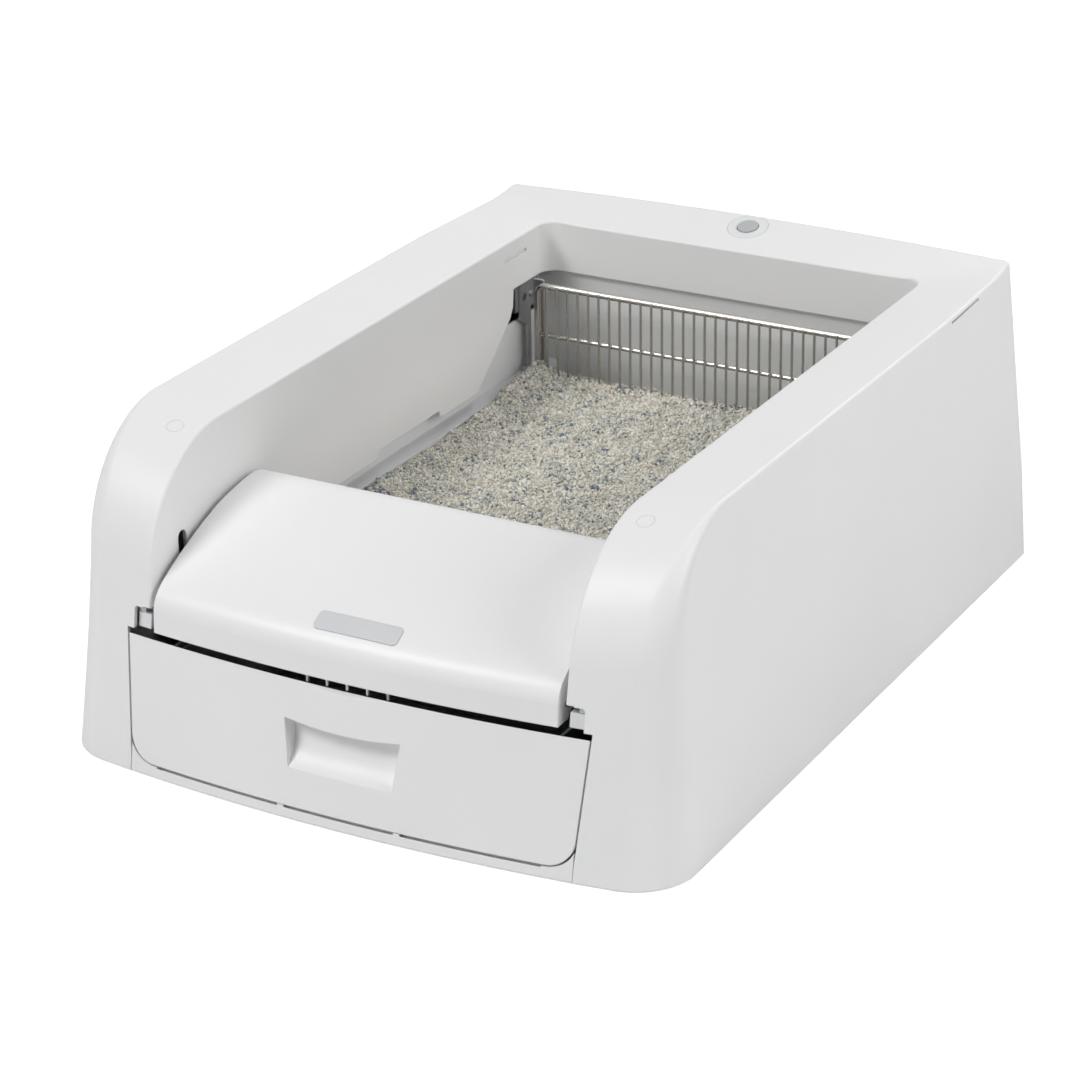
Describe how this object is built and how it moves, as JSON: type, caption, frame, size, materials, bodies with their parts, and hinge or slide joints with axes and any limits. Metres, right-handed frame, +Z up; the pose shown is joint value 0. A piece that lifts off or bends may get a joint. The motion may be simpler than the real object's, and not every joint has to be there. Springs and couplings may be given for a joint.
{
  "type": "self-cleaning litter box",
  "caption": "Free-standing self-cleaning litter box with a motor-driven rake on rails, a hinged waste lid, a pull-out waste drawer and a push button.",
  "frame": {"origin": "on the floor, under the middle of the whole object's bounding box", "axes": "+Z up, -Y towards the drawer at the front, +X to the right of someone facing the drawer"},
  "size_m": [0.4738, 0.6398, 0.2366],
  "materials": {
    "shell_white": "fine satin moulded plastic",
    "lid_white": "fine satin moulded plastic",
    "pan_grey": "satin moulded plastic",
    "tray_grey": "smooth moulded plastic",
    "inner_grey": "satin moulded plastic",
    "litter": "loose mineral grains, beige with grey and blue-grey ones",
    "rake_wire": "drawn stainless wire",
    "sheet_steel": "bent stainless sheet",
    "rod_steel": "ground round bar",
    "screw_steel": "zinc plated",
    "foot_rubber": "soft rubber",
    "belt_rubber": "toothed belt rubber",
    "gear_plastic": "white acetal",
    "pulley_plastic": "black acetal",
    "bush_brass": "sintered bronze",
    "motor_metal": "zinc plated can",
    "board_green": "solder resist",
    "black_plastic": "black moulded plastic",
    "badge_grey": "satin grey, blank",
    "bezel_grey": "satin light grey",
    "button_grey": "soft grey",
    "spring_steel": "spring wire"
  },
  "bodies": {
    "base": {"top_frame": "shell_white", "arm_plugs": "shell_white", "base_pan": "shell_white", "frame_screws": "screw_steel", "rubber_feet": "foot_rubber", "litter_tray": "tray_grey", "litter_bed": "litter", "guide_rail_right": "rod_steel", "guide_rail_left": "rod_steel", "side_frame_right": "sheet_steel", "side_frame_left": "sheet_steel", "idler_pins": "rod_steel", "drive_belt_right": "belt_rubber", "drive_belt_left": "belt_rubber", "shaft_bushes": "bush_brass", "gear_motor": "motor_metal", "motor_mount": "sheet_steel", "control_board": "board_green", "dc_inlet": "black_plastic", "limit_switches": "black_plastic", "button_bezel": "bezel_grey", "button_spring": "spring_steel", "button_switch": "black_plastic", "hinge_block_right": "pan_grey", "hinge_block_left": "pan_grey"},
    "rake": {"rake_top_rod": "rake_wire", "rake_cross_rod": "rake_wire", "rake_tines": "rake_wire", "rake_bracket_right": "sheet_steel", "rake_bracket_left": "sheet_steel", "carriage_right": "inner_grey", "carriage_left": "inner_grey", "belt_clamps": "pulley_plastic", "carriage_screws": "screw_steel"},
    "drive": {"drive_shaft": "rod_steel", "drive_pulley_right": "pulley_plastic", "drive_pulley_left": "pulley_plastic", "drive_gear": "gear_plastic"},
    "pinion": {"motor_pinion": "bush_brass"},
    "idler_right": {"idler_pulley_right": "pulley_plastic"},
    "idler_left": {"idler_pulley_left": "pulley_plastic"},
    "lid": {"bin_lid": "lid_white", "lid_badge": "badge_grey", "lid_pins": "rod_steel"},
    "drawer": {"drawer_front": "lid_white", "drawer_box": "pan_grey", "waste_bin": "inner_grey", "drawer_screws": "screw_steel"},
    "button": {"button_cap": "button_grey"}
  },
  "joints": [
    {"name": "rake_slide", "type": "slide", "parent": "base", "child": "rake", "axis": [0, -1, 0], "range_m": [0, 0.344]},
    {"name": "drive_spin", "type": "hinge", "parent": "base", "child": "drive", "pos_m": [0, 0.2925, 0.192], "axis": [-1, 0, 0], "range_deg": [-30, 1680]},
    {"name": "pinion_spin", "type": "hinge", "parent": "base", "child": "pinion", "pos_m": [0, 0.2925, 0.172], "axis": [1, 0, 0], "range_deg": [-60, 3900]},
    {"name": "idler_right_spin", "type": "hinge", "parent": "base", "child": "idler_right", "pos_m": [0.201, -0.165, 0.192], "axis": [-1, 0, 0], "range_deg": [-30, 1680]},
    {"name": "idler_left_spin", "type": "hinge", "parent": "base", "child": "idler_left", "pos_m": [-0.201, -0.165, 0.192], "axis": [-1, 0, 0], "range_deg": [-30, 1680]},
    {"name": "lid_hinge", "type": "hinge", "parent": "base", "child": "lid", "pos_m": [0, -0.2852, 0.1146], "axis": [1, 0, 0], "range_deg": [0, 65]},
    {"name": "drawer_slide", "type": "slide", "parent": "base", "child": "drawer", "axis": [0, -1, 0], "range_m": [0, 0.16]},
    {"name": "button_press", "type": "slide", "parent": "base", "child": "button", "axis": [0, 0.2582, -0.9661], "range_m": [0, 0.0014], "stiffness_N_per_m": 600, "deforming": ["button_spring"]}
  ],
  "couplings": [
    {"joint": "drive_spin", "follows": "rake_slide", "rad_per_m": 83.333},
    {"joint": "pinion_spin", "follows": "rake_slide", "rad_per_m": 194.44},
    {"joint": "idler_right_spin", "follows": "rake_slide", "rad_per_m": 83.333},
    {"joint": "idler_left_spin", "follows": "rake_slide", "rad_per_m": 83.333}
  ]
}
